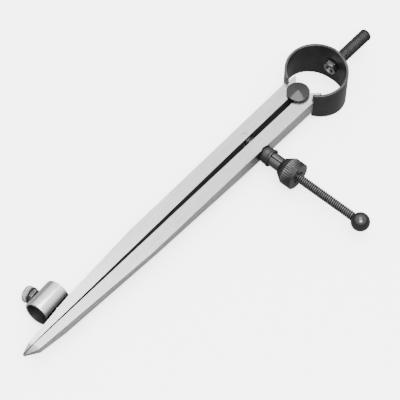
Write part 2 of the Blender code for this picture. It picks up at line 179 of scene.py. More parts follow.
def make_sky():
    """A tent of white cloth: grey near the floor, brightest from 45 degrees up."""
    world = bpy.data.worlds.new("studio")
    world.use_nodes = True
    tree = world.node_tree
    spot = tree.nodes.new("ShaderNodeTexCoord")
    apart = tree.nodes.new("ShaderNodeSeparateXYZ")
    rise = tree.nodes.new("ShaderNodeMapRange")
    rise.interpolation_type = "SMOOTHSTEP"
    for label, number in (("From Min", SKY_LOW), ("From Max", SKY_HIGH),
                          ("To Min", SKY_DIM), ("To Max", SKY_BRIGHT)):
        rise.inputs[label].default_value = number
    tree.links.new(spot.outputs["Generated"], apart.inputs[0])
    tree.links.new(apart.outputs["Z"], rise.inputs["Value"])
    tree.links.new(rise.outputs["Result"], tree.nodes["Background"].inputs["Strength"])
    tree.nodes["Background"].inputs["Color"].default_value = (1, 1, 1, 1)
    return world


bpy.context.scene.world = make_sky()


# ---------------------------------------------------------------------------
# Left and right leg. Forged and ground bars of bare steel, straight along their
# inner edges, thinner from a quarter of the way down and ground to a point. Their
# grain runs lengthwise; the edges are broken by hand and painted lighter, partly wear
# and partly painted highlight. The slit faces and a facet of the outer front edge are
# painted near-black as painted shade.
# ---------------------------------------------------------------------------
LEG_EDGE = 0.28 * MM
SHADED_FACET_SPAN = (-118 * MM, -1 * MM)        # the outer front edge is painted black here, a painted shade on its darker facet
INNER_REACH = 2.6 * MM                  # the faces along the slit are nearer the middle
POINT_DARK = (8 * MM, 1 * MM)           # from the tip: where the dark starts and is full
LEG_STEEL = (0.56, 0.56, 0.57)
LEG_STEEL_WORN_HIGHLIGHT = (0.78, 0.78, 0.79)
POINT_STEEL = (0.08, 0.08, 0.083)
# near-black for painted shade
PAINTED_SHADE_COLOUR = (0.03, 0.03, 0.031)
WEAR_AND_HIGHLIGHT_GAIN = 12                          # turns the spread of the normals into wear and painted highlight
MERGE = 0.0004 * MM


def node_group(name, inputs, outputs):
    """An empty shader group with float or vector sockets."""
    group = bpy.data.node_groups.new(name, "ShaderNodeTree")
    kinds = {float: "NodeSocketFloat", Vector: "NodeSocketVector"}
    for way, sockets in (("INPUT", inputs), ("OUTPUT", outputs)):
        for label, kind in sockets.items():
            group.interface.new_socket(name=label, in_out=way, socket_type=kinds[kind])
    inlet = group.nodes.new("NodeGroupInput")
    outlet = group.nodes.new("NodeGroupOutput")
    return group, inlet, outlet


def math_node(tree, operation, *values):
    """A Math node fed by sockets or plain numbers."""
    node = tree.nodes.new("ShaderNodeMath")
    node.operation = operation
    for socket, value in zip(node.inputs, values):
        if isinstance(value, (int, float)):
            socket.default_value = value
        else:
            tree.links.new(value, socket)
    return node.outputs[0]


def noise_node(tree, place, scale, detail):
    """Noise from 0 to 1; scale counts its features per metre."""
    node = tree.nodes.new("ShaderNodeTexNoise")
    node.inputs["Scale"].default_value = scale
    node.inputs["Detail"].default_value = detail
    tree.links.new(place, node.inputs["Vector"])
    return node.outputs["Fac"]


def ranged(tree, value, low, high, to_low, to_high):
    """The value, moved from one range to another and held inside it."""
    node = tree.nodes.new("ShaderNodeMapRange")
    for socket, number in zip(node.inputs[1:5], (low, high, to_low, to_high)):
        socket.default_value = number
    tree.links.new(value, node.inputs["Value"])
    return node.outputs["Result"]


def blended(tree, share, first, second):
    """A colour between two others; each is a socket or three numbers."""
    node = tree.nodes.new("ShaderNodeMix")
    node.data_type = "RGBA"
    for socket, value in ((node.inputs[6], first), (node.inputs[7], second)):
        if isinstance(value, tuple):
            socket.default_value = (*value, 1)
        else:
            tree.links.new(value, socket)
    tree.links.new(share, node.inputs[0])
    return node.outputs[2]


def make_grain_group():
    """Fine scratches that run one way: noise squeezed across the grain and stretched along
    it. The tone is 0.6 of that noise and 0.4 of a broad one."""
    group, inlet, outlet = node_group(
        "scratch_grain", {"Place": Vector, "Stretch": Vector},
        {"Height": float, "Tone": float})
    scaled = group.nodes.new("ShaderNodeVectorMath")
    scaled.operation = "MULTIPLY"
    group.links.new(inlet.outputs["Place"], scaled.inputs[0])
    group.links.new(inlet.outputs["Stretch"], scaled.inputs[1])
    fine = noise_node(group, scaled.outputs[0], 1.0, 4.0)
    broad = noise_node(group, inlet.outputs["Place"], 90.0, 3.0)
    group.links.new(fine, outlet.inputs["Height"])
    tone = math_node(group, "MULTIPLY_ADD", fine, 0.6, math_node(group, "MULTIPLY", broad, 0.4))
    group.links.new(tone, outlet.inputs["Tone"])
    return group


def make_wear_and_highlight_group():
    """Edges painted bright, partly rubbed wear and partly painted highlight: the piece's own value,
    broken up by noise.
    """
    group, inlet, outlet = node_group(
        "rubbed_edge_and_highlight", {"Place": Vector, "Amount": float}, {"Mask": float})
    wear_and_highlight = group.nodes.new("ShaderNodeAttribute")
    wear_and_highlight.attribute_name = "wear_and_highlight"
    patchy = ranged(group, noise_node(group, inlet.outputs["Place"], 700.0, 3.0),
                    0.3, 0.7, 0.35, 1.0)
    rubbed_and_highlight = math_node(group, "MULTIPLY", wear_and_highlight.outputs["Fac"], patchy)
    mask = math_node(group, "MULTIPLY", rubbed_and_highlight, inlet.outputs["Amount"])
    group.links.new(mask, outlet.inputs["Mask"])
    return group


scratch_grain = make_grain_group()
rubbed_edge_and_highlight = make_wear_and_highlight_group()


def place_group(tree, group, **values):
    """Puts a shader group in a material, with Object coordinates on its Place input."""
    node = tree.nodes.new("ShaderNodeGroup")
    node.node_tree = group
    spot = tree.nodes.new("ShaderNodeTexCoord")
    tree.links.new(spot.outputs["Object"], node.inputs["Place"])
    for label, value in values.items():
        node.inputs[label].default_value = value
    return node.outputs


def bumped(tree, shader, height, strength, depth):
    """Bends the shader's normal by a height."""
    bump = tree.nodes.new("ShaderNodeBump")
    bump.inputs["Strength"].default_value = strength
    bump.inputs["Distance"].default_value = depth
    tree.links.new(height, bump.inputs["Height"])
    tree.links.new(bump.outputs["Normal"], shader.inputs["Normal"])


def make_leg_steel():
    """Ground steel with a grain along the leg, edges painted bright as wear and painted highlight,
    and a dark point.
    """
    material, tree, shader = paint("ground_steel", LEG_STEEL, 0.3, 1.0)
    grain = place_group(tree, scratch_grain, Stretch=(2600, 90, 2600))
    worn_and_highlight = place_group(tree, rubbed_edge_and_highlight, Amount=0.9)["Mask"]
    spot = tree.nodes.new("ShaderNodeTexCoord")
    apart = tree.nodes.new("ShaderNodeSeparateXYZ")
    tree.links.new(spot.outputs["Object"], apart.inputs[0])
    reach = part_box("left_leg")[0].y
    tip = ranged(tree, apart.outputs["Y"], reach + POINT_DARK[0], reach + POINT_DARK[1], 0.0, 0.9)
    tone = ranged(tree, grain["Tone"], 0.3, 0.7, 0.86, 1.08)
    brushed = tree.nodes.new("ShaderNodeVectorMath")
    brushed.operation = "SCALE"
    brushed.inputs[0].default_value = LEG_STEEL
    tree.links.new(tone, brushed.inputs["Scale"])
    edged = blended(tree, worn_and_highlight, brushed.outputs[0], LEG_STEEL_WORN_HIGHLIGHT)
    tree.links.new(blended(tree, tip, edged, POINT_STEEL), shader.inputs["Base Color"])
    rough = ranged(tree, grain["Height"], 0.3, 0.7, 0.19, 0.31)
    tree.links.new(rough, shader.inputs["Roughness"])
    bumped(tree, shader, grain["Height"], 0.25, 0.02 * MM)
    return material


def finish_mesh(mesh, name, material, slot, body, stands_for=(), sharp=35):
    """Merges doubles, turns faces outward, shades by angle and links the piece to its body."""
    bm = bmesh.new()
    bm.from_mesh(mesh)
    bmesh.ops.remove_doubles(bm, verts=bm.verts, dist=MERGE)
    bmesh.ops.dissolve_degenerate(bm, edges=bm.edges, dist=MERGE / 2)
    bmesh.ops.recalc_face_normals(bm, faces=bm.faces)
    bm.to_mesh(mesh)
    bm.free()
    mesh.shade_smooth()
    mesh.set_sharp_from_angle(angle=math.radians(sharp))
    mesh.materials.clear()
    mesh.materials.append(material)
    piece = bpy.data.objects.new(name, mesh)
    bpy.context.scene.collection.objects.link(piece)
    if body:                            # None leaves the piece without a body
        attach(piece, body)
    if stands_for:
        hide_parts(*stands_for)
    return piece


def settled(piece):
    """The piece's mesh with its modifiers worked in; the modifiers go."""
    view = bpy.context.evaluated_depsgraph_get()
    mesh = bpy.data.meshes.new_from_object(piece.evaluated_get(view))
    piece.modifiers.clear()
    old, piece.data = piece.data, mesh
    bpy.data.meshes.remove(old)
    return mesh


def mark_wear_and_highlight(mesh):
    """Edge value for wear and painted highlight = gain * (1 - the length of the mean normal round a
    point), held at 1: 0 on a flat.
    """
    corners = np.zeros(len(mesh.loops), int)
    mesh.loops.foreach_get("vertex_index", corners)
    sizes = np.zeros(len(mesh.polygons), int)
    mesh.polygons.foreach_get("loop_total", sizes)
    normals = np.zeros(len(mesh.polygons) * 3)
    mesh.polygons.foreach_get("normal", normals)
    normals = np.repeat(normals.reshape(-1, 3), sizes, axis=0)
    total = np.zeros((len(mesh.vertices), 3))
    np.add.at(total, corners, normals)
    count = np.bincount(corners, minlength=len(mesh.vertices))
    spread = 1 - np.linalg.norm(total, axis=1) / np.maximum(count, 1)
    layer = mesh.attributes.new("wear_and_highlight", "FLOAT", "POINT")
    layer.data.foreach_set("value", np.clip(spread * WEAR_AND_HIGHLIGHT_GAIN, 0, 1).astype(np.float32))


def bevelled_copy(node, name, width, material, slot, body):
    """A CAD solid's copy: doubles merged, flats made whole, edges rounded."""
    bm = bmesh.new()
    bm.from_mesh(frame["nodes"][node].data)
    bmesh.ops.remove_doubles(bm, verts=bm.verts, dist=0.002 * MM)
    bmesh.ops.dissolve_limit(bm, angle_limit=math.radians(1), verts=bm.verts, edges=bm.edges)
    mesh = bpy.data.meshes.new(name)
    bm.to_mesh(mesh)
    bm.free()
    piece = finish_mesh(mesh, name, material, slot, body, (node,), 30)
    rounding = piece.modifiers.new("rounding", "BEVEL")
    rounding.width = width
    rounding.segments = 3
    rounding.limit_method = "ANGLE"
    rounding.angle_limit = math.radians(28)
    rounding.miter_outer = "MITER_ARC"
    rounding.harden_normals = True
    mark_wear_and_highlight(settled(piece))
    return piece


def face_table(piece):
    """The unit normal and the middle of each face, as two arrays."""
    count = len(piece.data.polygons)
    normals, middles = np.zeros(count * 3), np.zeros(count * 3)
    piece.data.polygons.foreach_get("normal", normals)
    piece.data.polygons.foreach_get("center", middles)
    return normals.reshape(-1, 3), middles.reshape(-1, 3)


def repaint(piece, material, chosen):
    """Gives the chosen faces another material."""
    piece.data.materials.append(material)
    index = np.zeros(len(piece.data.polygons), np.int32)
    piece.data.polygons.foreach_get("material_index", index)
    index[chosen] = len(piece.data.materials) - 1
    piece.data.polygons.foreach_set("material_index", index)


def split_at(piece, place):
    """Cuts the mesh through at a place along the leg, for the tone to change there."""
    bm = bmesh.new()
    bm.from_mesh(piece.data)
    everything = bm.verts[:] + bm.edges[:] + bm.faces[:]
    bmesh.ops.bisect_plane(bm, geom=everything, plane_co=(0, place, 0), plane_no=(0, 1, 0))
    bm.to_mesh(piece.data)
    bm.free()


leg_steel = make_leg_steel()
# This near-black material is painted shade: the legs' slit, a facet of their outer front edge, the
# area under the stud's head and the quick nut's chamfer.
painted_shade_black = paint("painted_shade_black", PAINTED_SHADE_COLOUR, 0.55, 0.5)[0]
for node, name, body, side in (("left_leg", "pencil_side_leg", "pencil_leg", -1),
                               ("right_leg", "needle_side_leg", "needle_leg", 1)):
    leg = bevelled_copy(node, name, LEG_EDGE, leg_steel, "ground_steel", body)
    for place in SHADED_FACET_SPAN:
        split_at(leg, place)
    normals, middles = face_table(leg)
    # Painted shade: the faces along the slit and a stretch of the outer front edge take the
    # near-black material.
    towards_slit = (-side * normals[:, 0] > 0.6) & (np.abs(middles[:, 0]) < INNER_REACH)
    front_edge = (side * normals[:, 0] > 0.2) & (normals[:, 2] > 0.2)
    front_edge &= (middles[:, 1] > SHADED_FACET_SPAN[0]) & (middles[:, 1] < SHADED_FACET_SPAN[1])
    repaint(leg, painted_shade_black, towards_slit | front_edge)


# ---------------------------------------------------------------------------
# Fulcrum stud and rear collar. Turned steel, blackened: a shank through the half-
# round seats of both legs, a head with a low cone in front, a pressed ring behind.
# ---------------------------------------------------------------------------
OXIDE_BLACK = (0.038, 0.038, 0.039)
OXIDE_PALE = (0.056, 0.056, 0.057)
OXIDE_RUBBED_HIGHLIGHT = (0.20, 0.20, 0.205)
HEAD_RIM = 0.5 * MM
HEAD_THICK = 1.4 * MM
HEAD_UNDERCUT = 1.2 * MM
CONE_RISE = 1.2 * MM
SHANK_RADIUS = 3.0 * MM


def make_mottle_group():
    """Blotches and fine pits of a chemical blackening: two noises of unlike size."""
    group, inlet, outlet = node_group(
        "blacking", {"Place": Vector, "Pits": float}, {"Tone": float, "Height": float})
    blotch = noise_node(group, inlet.outputs["Place"], 160.0, 4.0)
    pits = noise_node(group, inlet.outputs["Place"], 3200.0, 2.0)
    group.links.new(ranged(group, blotch, 0.3, 0.7, 0.0, 1.0), outlet.inputs["Tone"])
    group.links.new(math_node(group, "MULTIPLY", pits, inlet.outputs["Pits"]),
                    outlet.inputs["Height"])
    return group


blacking = make_mottle_group()


def make_oxide(name, dark, light, rough, wear_and_highlight_amount, pits=1.0, rubbed_and_highlight=OXIDE_RUBBED_HIGHLIGHT):
    """Blackened steel: blotches between two dark tones, edges painted grey, partly rubbed wear and
    partly painted highlight.
    """
    material, tree, shader = paint(name, dark, rough, 0.85)
    coat = place_group(tree, blacking, Pits=pits)
    worn_and_highlight = place_group(tree, rubbed_edge_and_highlight, Amount=wear_and_highlight_amount)["Mask"]
    tone = blended(tree, coat["Tone"], dark, light)
    tree.links.new(blended(tree, worn_and_highlight, tone, rubbed_and_highlight), shader.inputs["Base Color"])
    tree.links.new(ranged(tree, coat["Tone"], 0.0, 1.0, rough - 0.05, rough + 0.06),
                   shader.inputs["Roughness"])
    bumped(tree, shader, coat["Height"], 0.2, 0.02 * MM)
    return material


def eased(points, width, steps=5):
    """A profile with its inner corners rounded. Each corner C becomes the curve
    (1-t)^2 A + 2t(1-t) C + t^2 B, where A and B lie on its two sides, a set width away.
    The third column is the wear and painted highlight there, 4t(1-t) on a corner and 0 on a flat."""
    points = np.array(points, float)
    widths = np.broadcast_to(width, len(points))
    share = np.linspace(0, 1, steps)[:, None]
    rows = [[*points[0], 0]]
    for index in range(1, len(points) - 1):
        corner = points[index]
        before, after = points[index - 1] - corner, points[index + 1] - corner
        longest = min(np.linalg.norm(before), np.linalg.norm(after)) * 0.48
        reach = min(widths[index], longest)
        start = corner + before / np.linalg.norm(before) * reach
        end = corner + after / np.linalg.norm(after) * reach
        curve = (1 - share) ** 2 * start + 2 * share * (1 - share) * corner + share ** 2 * end
        turn = before[0] * after[1] - before[1] * after[0]
        strength = 1.0 if turn < 0 else 0.0
        rows.extend(np.hstack([curve, 4 * share * (1 - share) * strength]).tolist())
    rows.append([*points[-1], 0])
    return np.array(rows)


def ring_profile(points, width, steps=5):
    """A closed profile, rounded at every corner; the last row repeats the first."""
    points = list(points)
    middle = ((np.array(points[0]) + np.array(points[1])) / 2).tolist()
    return eased([middle] + points[1:] + [points[0]] + [middle], width, steps)


def axes_from(direction):
    """Two unit vectors square to a direction and to each other."""
    along = Vector(direction).normalized()
    helper = Vector((0, 0, 1)) if abs(along.z) < 0.9 else Vector((1, 0, 0))
    side = helper.cross(along).normalized()
    return np.array(along), np.array(side), np.array(along.cross(side))


def round_grid(centre, axes, place, radius, angle):
    """Points centre + place * along + radius * (cos a * side + sin a * up)."""
    along, side, up = axes
    return (np.array(centre) + place[..., None] * along
            + (radius * np.cos(angle))[..., None] * side
            + (radius * np.sin(angle))[..., None] * up)


def mesh_with_wear_and_highlight(name, grid, faces, wear_and_highlight):
    """A mesh of four-sided faces, with each point's value for wear and painted highlight."""
    mesh = bpy.data.meshes.new(name)
    mesh.from_pydata(grid.reshape(-1, 3), [], faces.reshape(-1, 4))
    layer = mesh.attributes.new("wear_and_highlight", "FLOAT", "POINT")
    layer.data.foreach_set("value", np.asarray(wear_and_highlight, np.float32).ravel())
    return mesh


def grid_mesh(name, grid, wear_and_highlight, wrap_rows=False):
    """A mesh on a grid of points, rows by columns, whose last column joins the first."""
    rows, columns = grid.shape[:2]
    count = rows if wrap_rows else rows - 1
    row, column = np.meshgrid(np.arange(count), np.arange(columns), indexing="ij")
    below, right = (row + 1) % rows, (column + 1) % columns
    faces = np.stack([row * columns + column, row * columns + right,
                      below * columns + right, below * columns + column], axis=-1)
    return mesh_with_wear_and_highlight(name, grid, faces, wear_and_highlight)


def turned(name, profile, centre, direction, look, sides=96, ripple=None, **home):
    """A round piece. Point (i, j) = centre + along_i * direction
    + (radius_i + ripple) * (cos a_j * side + sin a_j * up), with a_j = 2 pi j / sides.
    Look is the material and a slot name; the slot is not used."""
    angle = np.linspace(0, math.tau, sides, endpoint=False)[None, :]
    place, radius = profile[:, 0:1], profile[:, 1:2]
    change, tips = ripple(angle, place) if ripple else (0, 0)
    grid = round_grid(centre, axes_from(direction), place, radius + change + 0 * angle, angle)
    wear_and_highlight = np.maximum(profile[:, 2:3], tips + 0 * angle)
    return finish_mesh(grid_mesh(name, grid, wear_and_highlight), name, look[0], look[1], **home)


oxide = make_oxide("black_oxide", OXIDE_BLACK, OXIDE_PALE, 0.34, 0.15)
# The stud's rounded rim gets a lighter line from the edge value: partly wear, partly painted
# highlight.
stud_oxide = make_oxide("turned_black_oxide", (0.036, 0.036, 0.037), (0.042, 0.042, 0.043),
                        0.12, 0.12, 0.2)

stud_low, stud_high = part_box("pivot_stud")
head_radius = (stud_high.x - stud_low.x) / 2
rim_top = stud_high.z - CONE_RISE
stud_profile = eased(
    [(stud_high.z, 0), (rim_top, head_radius), (rim_top - HEAD_RIM, head_radius),
     (rim_top - HEAD_THICK, head_radius - HEAD_UNDERCUT),
     (rim_top - HEAD_THICK, SHANK_RADIUS), (0, SHANK_RADIUS), (0, 0)],
    [0, 0.2 * MM, 0.15 * MM, 0.15 * MM, 0.1 * MM, 0.2 * MM, 0])
near_apex = [[stud_high.z - 0.02 * CONE_RISE, 0.02 * head_radius, 0]]
stud_profile = np.vstack([stud_profile[:1], near_apex, stud_profile[1:]])
stud = turned("fulcrum_stud", stud_profile, (0, 0, 0), (0, 0, 1),
              (stud_oxide, "blackened_steel"), body="bow", stands_for=("pivot_stud",))
# Painted shade: the head's side, its underside and the shank take the near-black material.
repaint(stud, painted_shade_black, face_table(stud)[0][:, 2] < 0.2)

collar_low, collar_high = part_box("pivot_collar")
collar_hole = SHANK_RADIUS + 0.15 * MM
turned("rear_collar",
       ring_profile([(collar_high.z, collar_hole), (collar_high.z, head_radius),
                     (collar_low.z, head_radius), (collar_low.z, collar_hole)], 0.3 * MM),
       (0, 0, 0), (0, 0, 1), (stud_oxide, "blackened_steel"),
       body="bow", stands_for=("pivot_collar",))


# ---------------------------------------------------------------------------
# Bow spring. A strip of spring steel rolled to a ring and blackened. Its ends sit in
# the slots of the legs' outer edges.
# ---------------------------------------------------------------------------
BOW_THICK = 1.3 * MM
BOW_EDGE = 0.22 * MM
BOW_CENTRE_Y = 14.6 * MM
BOW_END_X = 8.3 * MM
BOW_END_HALF_WIDTH = 8.3 * MM

bow_low, bow_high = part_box("bow_spring")
bow_half_span = (bow_high.x - bow_low.x) / 2
bow_half_reach = bow_high.y - BOW_CENTRE_Y
bow_top_half_width = (bow_high.z - bow_low.z) / 2
bow_open = math.asin(BOW_END_X / (bow_half_span - BOW_THICK / 2))


def capped(mesh, rows, columns):
    """Closes the open ends of a grid mesh with one face each."""
    bm = bmesh.new()
    bm.from_mesh(mesh)
    bm.verts.ensure_lookup_table()
    first = [bm.verts[index] for index in range(columns)]
    last = [bm.verts[(rows - 1) * columns + index] for index in range(columns)]
    bm.faces.new(first)
    bm.faces.new(last[::-1])
    bm.to_mesh(mesh)
    bm.free()
    return mesh


def bow_side(name, side):
    """Half of the bow: a flat oblong section, in (inset, sideways), carried round. Point
    (i, j) = (side * (half span - inset_j) * sin a_i,
    centre - (half reach - inset_j) * cos a_i, sideways_j +- taper_i), with a_i from the
    slot to the top; the taper adds to the half width from the slot, 0, up to the top."""
    section = ring_profile([(BOW_THICK, BOW_END_HALF_WIDTH), (0, BOW_END_HALF_WIDTH),
                            (0, -BOW_END_HALF_WIDTH), (BOW_THICK, -BOW_END_HALF_WIDTH)],
                           BOW_EDGE)[:-1]
    angle = np.linspace(bow_open, math.pi, 73)[:, None]
    inset, sideways = section[None, :, 0], section[None, :, 1]
    taper = (angle - bow_open) / (math.pi - bow_open) * (bow_top_half_width - BOW_END_HALF_WIDTH)
    grid = np.stack([side * (bow_half_span - inset) * np.sin(angle),
                     BOW_CENTRE_Y - (bow_half_reach - inset) * np.cos(angle),
                     mid_z + sideways + np.sign(sideways) * taper], axis=-1)
    # The strip's rounded edges are painted lighter: partly wear, partly painted highlight.
    wear_and_highlight = np.broadcast_to(section[None, :, 2], grid.shape[:2])
    mesh = capped(grid_mesh(name, grid, wear_and_highlight), *grid.shape[:2])
    piece = finish_mesh(mesh, name, oxide, "blackened_steel", None, ("bow_spring",), 50)
    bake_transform(piece)


bow_side("bow_left_half", -1)
bow_side("bow_right_half", 1)


# ---------------------------------------------------------------------------
# Grip. A blackened steel rod with a fine knurl and a rounded end. Its thinner,
# threaded end passes through the bow into the nut.
# ---------------------------------------------------------------------------
GRIP_KNURL_DEPTH = 0.32 * MM
GRIP_THREAD_RADIUS = 2.0 * MM
GRIP_ROUNDING = 2.4 * MM
GROOVE_SLOPE = 1.6                      # above 1, the knurl's tips are flat

grip_low, grip_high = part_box("grip")
grip_radius = (grip_high.x - grip_low.x) / 2
grip_base = bow_high.y + 0.15 * MM
forward = Vector((0, 1, 0))


def knurl(teeth, lead, depth, start, end, fade=0.5 * MM):
    """Diamond knurl: two sets of crossing V grooves. The cut is the deeper of
    depth * (1 - slope |2 frac(teeth a / 2 pi +- s / lead) - 1|), faded out at both ends.
    Few teeth with a short lead come close to rings. The second value is the wear and painted
    highlight: 1 on the tips, 0 in the grooves."""
    def cut(angle, place):
        turn = teeth * angle / math.tau
        rise = (place - start) / lead
        ridges = [np.abs(2 * np.mod(turn + way * rise, 1) - 1) for way in (1, -1)]
        groove = 1 - GROOVE_SLOPE * np.minimum(*ridges)
        inside = np.clip((place - start) / fade, 0, 1) * np.clip((end - place) / fade, 0, 1)
        cut_share = np.clip(groove, 0, 1)
        return -depth * cut_share * inside, (1 - cut_share) * inside
    return cut


def with_rows(profile, start, end, steps):
    """Cuts a profile's outer straight stretch into more rows, for a pattern to form in."""
    at = int(np.argmax((profile[:-1, 0] <= start) & (profile[1:, 0] >= end)))
    extra = np.linspace(start, end, steps)
    radius = np.interp(extra, profile[at:at + 2, 0], profile[at:at + 2, 1])
    rows = np.stack([extra, radius, np.zeros(steps)], axis=1)
    return np.vstack([profile[:at + 1], rows, profile[at + 1:]])


THREAD_SIDES = 48
THREAD_SHARES = (0.0, 0.2, 0.45, 0.75)  # crest, crest, root, root, as parts of a turn


def threaded(name, radius, depth, pitch, start, end, centre, direction, look, **home):
    """A thread: every grid row is a helix, so crests and roots stay sharp.
    Along = start + pitch * (turn_k + share_k + a / 2 pi), held between the ends; four rows
    make a turn, and the radius steps through crest, crest, root, root."""
    angle = np.linspace(0, math.tau, THREAD_SIDES, endpoint=False)[None, :]
    turns = int(round((end - start) / pitch)) + 1
    row = np.arange(-4, turns * 4)[:, None]
    share = np.array(THREAD_SHARES)[row % 4]
    place = start + pitch * (row // 4 + share + angle / math.tau)
    held = np.clip(place, start, end)
    crest = np.isin(row % 4, (0, 1))
    height = np.where(crest, radius, radius - depth) * np.ones_like(place)
    height = np.where(held == place, height, radius - depth)
    grid = round_grid(centre, axes_from(direction), held, height, angle)
    rows, columns = grid.shape[:2]
    row_index, column = np.meshgrid(np.arange(rows - 5), np.arange(columns), indexing="ij")
    right = (column + 1) % columns
    lower = row_index + 1
    shift = np.where(column == columns - 1, 4, 0)       # the last column meets the next turn
    faces = np.stack([row_index * columns + column,
                      (row_index + shift) * columns + right,
                      (lower + shift) * columns + right,
                      lower * columns + column], axis=-1)
    faces = faces[(faces < rows * columns).all(axis=-1)]
    # The crests are painted lighter than the roots: partly worn crests, partly painted highlight.
    mesh = mesh_with_wear_and_highlight(name, grid, faces, crest * np.ones_like(place))
    close_ends(mesh)
    return finish_mesh(mesh, name, look[0], look[1], **home)


def close_ends(mesh):
    """Merges the rows that were held at an end and fills the two rims."""
    bm = bmesh.new()
    bm.from_mesh(mesh)
    bmesh.ops.remove_doubles(bm, verts=bm.verts, dist=MERGE)
    bmesh.ops.dissolve_degenerate(bm, edges=bm.edges, dist=MERGE / 2)
    loose = [vert for vert in bm.verts if not vert.link_faces]
    bmesh.ops.delete(bm, geom=loose, context="VERTS")
    rims = [edge for edge in bm.edges if edge.is_boundary]
    bmesh.ops.holes_fill(bm, edges=rims, sides=0)
    bm.to_mesh(mesh)
    bm.free()


thread_oxide = make_oxide("black_thread", (0.009, 0.009, 0.010), (0.014, 0.014, 0.015),
                          0.34, 1.0, 1.0, (0.21, 0.21, 0.214))
grip_profile = eased([(grip_base, 0), (grip_base, grip_radius), (grip_high.y, grip_radius),
                      (grip_high.y, 0)], [0, 0.5 * MM, GRIP_ROUNDING, 0], 9)
knurl_start, knurl_end = grip_base + 0.6 * MM, grip_high.y - 1.9 * MM
grip_profile = with_rows(grip_profile, knurl_start, knurl_end, 190)
grip_oxide = make_oxide("knurled_grip_oxide", (0.010, 0.010, 0.011), (0.016, 0.016, 0.017),
                        0.42, 1.0, 1.0, (0.055, 0.055, 0.056))
turned("knurled_grip", grip_profile, (0, 0, mid_z), forward, (grip_oxide, "black_thread"),
       sides=168, ripple=knurl(6, 1.25 * MM, GRIP_KNURL_DEPTH, knurl_start, knurl_end),
       body="bow", stands_for=("grip",))
threaded("grip_thread", GRIP_THREAD_RADIUS, 0.25 * MM, 0.8 * MM, grip_low.y,
         grip_base + 0.3 * MM, (0, 0, mid_z), forward, (thread_oxide, "black_thread"), body="bow")


# ---------------------------------------------------------------------------
# Grip nut. A small bright zinc hexagon nut inside the bow, both faces chamfered.
# ---------------------------------------------------------------------------
NUT_CHAMFER = math.radians(28)
NUT_LIP = 0.35 * MM                     # the bore's chamfer
NUT_FACE = 0.965                        # the flat face's circle, as a share of the flats
GRIP_NUT_FLATS = 7.0 * MM


def make_plate(name, colour, rough, stretch, dirt=(0.30, 0.30, 0.31), tint=False):
    """Bright plate on steel: fine turning marks, duller where it is dirty, edges painted lighter,
    partly wear and partly painted highlight. The last argument turns on painted shade: each
    point's own value darkens it."""
    material, tree, shader = paint(name, colour, rough, 1.0)
    grain = place_group(tree, scratch_grain, Stretch=stretch)
    worn_and_highlight = place_group(tree, rubbed_edge_and_highlight, Amount=0.6)["Mask"]
    dull = ranged(tree, grain["Tone"], 0.25, 0.5, 0.45, 0.0)
    tone = blended(tree, dull, colour, dirt)
    tone = blended(tree, worn_and_highlight, tone, (0.86, 0.86, 0.86))
    # Painted shade: a per-point value darkens the plate towards near-black.
    if tint:
        shade_share = tree.nodes.new("ShaderNodeAttribute")
        shade_share.attribute_name = "heat_tint"
        tone = blended(tree, shade_share.outputs["Fac"], tone, (0.012, 0.012, 0.013))
    tree.links.new(tone, shader.inputs["Base Color"])
    tree.links.new(ranged(tree, grain["Height"], 0.3, 0.7, rough - 0.05, rough + 0.08),
                   shader.inputs["Roughness"])
    bumped(tree, shader, grain["Height"], 0.15, 0.01 * MM)
    return material


def hex_nut(name, flats, hole, start, end, centre, direction, look, **home):
    """A hexagon nut. The side's radius is the smaller of flats / 2 / cos(a mod 60 - 30)
    and a cone that falls from the corners towards each end; the bore has a chamfer too."""
    angle = np.linspace(0, math.tau, 96, endpoint=False)[None, :]
    sixth = math.tau / 6
    hexagon = flats / 2 / np.cos(np.mod(angle, sixth) - sixth / 2)
    depth = (flats / math.sqrt(3) - flats / 2) * math.tan(NUT_CHAMFER) * 1.6
    inward = np.array([0, 0.15, 0.3, 0.45, 0.6, 0.8, 1.0]) * depth
    place = np.concatenate([start + inward, end - inward[::-1]])[:, None]
    inset = np.minimum(place - start, end - place)
    cone = flats / 2 * NUT_FACE + inset / math.tan(NUT_CHAMFER)
    outer = np.minimum(hexagon, cone)
    bore = np.array([[end, hole + NUT_LIP], [end - NUT_LIP, hole],
                     [start + NUT_LIP, hole], [start, hole + NUT_LIP]])
    places = np.vstack([place * np.ones_like(outer), bore[:, :1] * np.ones_like(angle)])
    radii = np.vstack([outer, bore[:, 1:] * np.ones_like(angle)])
    grid = round_grid(centre, axes_from(direction), places, radii, angle)
    edge = np.vstack([(np.abs(hexagon - cone) < 0.12 * MM) | (outer > flats / 2 * 1.13),
                      np.zeros((len(bore), angle.size), bool)])
    # The chamfer's edge and the corners are painted lighter: partly wear, partly painted highlight.
    mesh = grid_mesh(name, grid, edge.astype(float) * 0.8, wrap_rows=True)
    return finish_mesh(mesh, name, look[0], look[1], sharp=25, **home)


zinc = make_plate("zinc_plate", (0.34, 0.34, 0.35), 0.27, (900, 900, 900), (0.16, 0.16, 0.165))
grip_nut_low, grip_nut_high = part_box("grip_nut")
hex_nut("grip_hex_nut", GRIP_NUT_FLATS, GRIP_THREAD_RADIUS + 0.1 * MM, grip_nut_low.y,
        grip_nut_high.y, (0, 0, mid_z), forward, (zinc, "zinc"),
        body="bow", stands_for=("grip_nut",))


# ---------------------------------------------------------------------------
# Adjusting screw, its pin and its ball. A blackened threaded rod with a flat round
# eye that swings on a pin in the pencil leg; a polished black ball ends it.
# ---------------------------------------------------------------------------
SCREW_RADIUS = 2.25 * MM                # to the middle of the thread
SCREW_CREST = 0.15 * MM                 # how far the thread stands above that
THREAD_DEPTH = 0.5 * MM
THREAD_PITCH = 1.1 * MM
EYE_HOLE = 1.05 * MM

